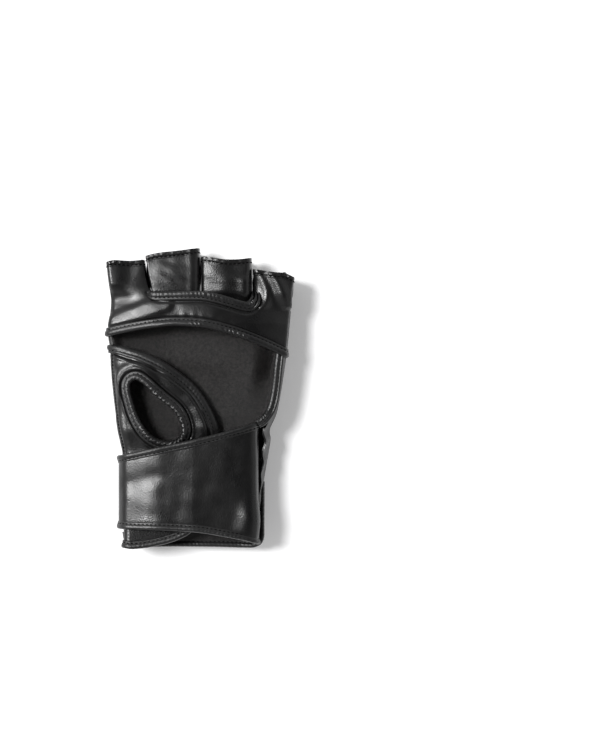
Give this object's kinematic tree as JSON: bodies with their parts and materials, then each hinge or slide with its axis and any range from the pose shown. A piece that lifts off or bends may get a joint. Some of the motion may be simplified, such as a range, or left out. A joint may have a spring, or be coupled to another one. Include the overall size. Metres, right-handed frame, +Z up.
{
  "type": "mma glove",
  "caption": "Open-palm grappling glove, left hand: foam-padded back, half-finger sleeves, bound thumb hole, wide wrist strap with hook-and-loop end.",
  "frame": {"origin": "on the surface that the padded back lies on, under the middle of the glove's outline", "axes": "+Z up out of the palm; +Y along the fingers towards their tips; +X towards the little finger (a left hand, palm up)"},
  "size_m": [0.136, 0.2153, 0.0428],
  "materials": {
    "leather": "black coated leather, fine pebble grain, semi-gloss",
    "binding": "thin black coated leather folded over the edge and stitched",
    "lining": "dark satin weave",
    "foam": "closed-cell foam, matte",
    "hook": "woven tape with stiff hooks",
    "loop": "brushed loop pile",
    "thread": "bonded polyester thread"
  },
  "bodies": {
    "hand": {"knuckle_pad_cover": "leather", "knuckle_pad_foam": "foam", "hand_back_cover": "leather", "hand_back_foam": "foam", "cuff_back_cover": "leather", "cuff_back_foam": "foam", "back_lining": "lining", "cuff_back_binding": "binding", "loop_patch": "loop", "palm_band": "leather", "palm_band_binding": "binding", "finger_crotch_binding": "binding", "middle_ring_root": "lining", "thumb_panel": "leather", "thumb_panel_binding": "binding", "thumb_hole_binding": "binding", "pinky_side_panel": "leather", "pinky_side_binding": "binding", "strap_leather": "leather", "strap_backing": "lining", "strap_top_binding": "binding", "strap_lower_binding": "binding", "inner_flap": "leather", "inner_flap_binding": "binding"},
    "index_finger": {"index_pad_cover": "leather", "index_pad_foam": "foam", "index_lining": "lining", "index_sleeve": "leather", "index_hem": "binding"},
    "middle_finger": {"middle_pad_cover": "leather", "middle_pad_foam": "foam", "middle_lining": "lining", "middle_sleeve": "leather", "middle_hem": "binding"},
    "ring_finger": {"ring_pad_cover": "leather", "ring_pad_foam": "foam", "ring_lining": "lining", "ring_sleeve": "leather", "ring_hem": "binding"},
    "pinky_finger": {"pinky_pad_cover": "leather", "pinky_pad_foam": "foam", "pinky_lining": "lining", "pinky_sleeve": "leather", "pinky_hem": "binding"},
    "strap_tail": {"tail_leather": "leather", "tail_backing": "lining", "tail_binding": "binding", "hook_patch": "hook"}
  },
  "joints": [
    {"name": "index_flex", "type": "hinge", "parent": "hand", "child": "index_finger", "pos_m": [0, 0.0763, 0.0325], "axis": [1, 0, 0], "range_deg": [0, 70], "stiffness_Nm_per_rad": 0.02},
    {"name": "middle_flex", "type": "hinge", "parent": "hand", "child": "middle_finger", "pos_m": [0, 0.079, 0.034], "axis": [1, 0, 0], "range_deg": [0, 70], "stiffness_Nm_per_rad": 0.02},
    {"name": "ring_flex", "type": "hinge", "parent": "hand", "child": "ring_finger", "pos_m": [0, 0.0778, 0.0335], "axis": [1, 0, 0], "range_deg": [0, 70], "stiffness_Nm_per_rad": 0.02},
    {"name": "pinky_flex", "type": "hinge", "parent": "hand", "child": "pinky_finger", "pos_m": [0, 0.0693, 0.0315], "axis": [1, 0, 0], "range_deg": [0, 70], "stiffness_Nm_per_rad": 0.02},
    {"name": "strap_tail_peel", "type": "hinge", "parent": "hand", "child": "strap_tail", "pos_m": [-0.0585, 0, 0.0013], "axis": [0, 1, 0], "range_deg": [0, 200]}
  ]
}
